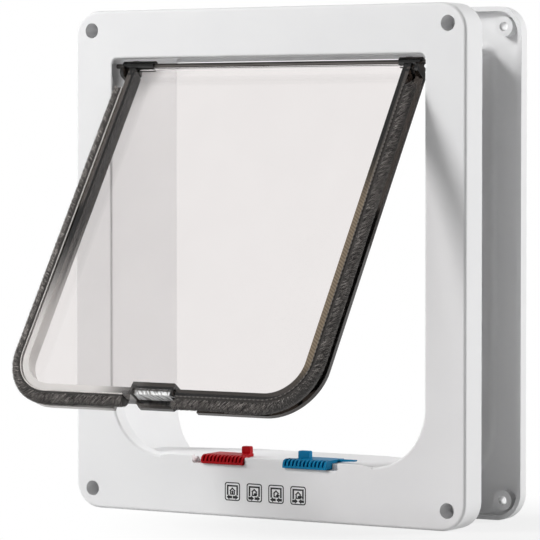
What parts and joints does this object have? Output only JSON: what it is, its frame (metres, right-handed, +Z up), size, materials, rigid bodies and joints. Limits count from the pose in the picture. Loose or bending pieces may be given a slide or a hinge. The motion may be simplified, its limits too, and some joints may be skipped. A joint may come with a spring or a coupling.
{
  "type": "cat flap",
  "caption": "Door-mounted cat flap: a white two-part telescoping frame, a smoked clear flap with brush seals and a magnet on a steel hinge rod, and sliding red and blue locks on the sill.",
  "frame": {"origin": "centre of the four screw places, on the door's room-side surface", "axes": "+X to the right seen from the room, +Y out through the door to the street side, +Z up"},
  "size_m": [0.25, 0.1839, 0.28],
  "materials": {
    "white_abs": "satin moulded white ABS",
    "smoked_polycarbonate": "clear smoked polycarbonate, polished",
    "brush_pile": "dense dark grey brush pile on a woven tape",
    "hinge_steel": "bright drawn wire",
    "bar_magnet": "plated, with diagonal scuffs",
    "red_abs": "moulded red ABS",
    "blue_abs": "moulded blue ABS"
  },
  "bodies": {
    "frame": {"inner_frame": "white_abs", "outer_frame": "white_abs", "hinge_rod": "hinge_steel", "sill_magnet": "bar_magnet"},
    "flap": {"flap_panel": "smoked_polycarbonate", "left_pile_strip": "brush_pile", "right_pile_strip": "brush_pile", "flap_magnet": "bar_magnet"},
    "red_lock": {"red_lock_slider": "red_abs"},
    "blue_lock": {"blue_lock_slider": "blue_abs"}
  },
  "joints": [
    {"name": "flap_swing", "type": "hinge", "parent": "frame", "child": "flap", "pos_m": [0, -0.0118, 0.1089], "axis": [-1, 0, 0], "range_deg": [-98.4, 56.6]},
    {"name": "red_lock_slide", "type": "slide", "parent": "frame", "child": "red_lock", "axis": [-1, 0, 0], "range_m": [0, 0.0063]},
    {"name": "blue_lock_slide", "type": "slide", "parent": "frame", "child": "blue_lock", "axis": [1, 0, 0], "range_m": [0, 0.0063]}
  ]
}
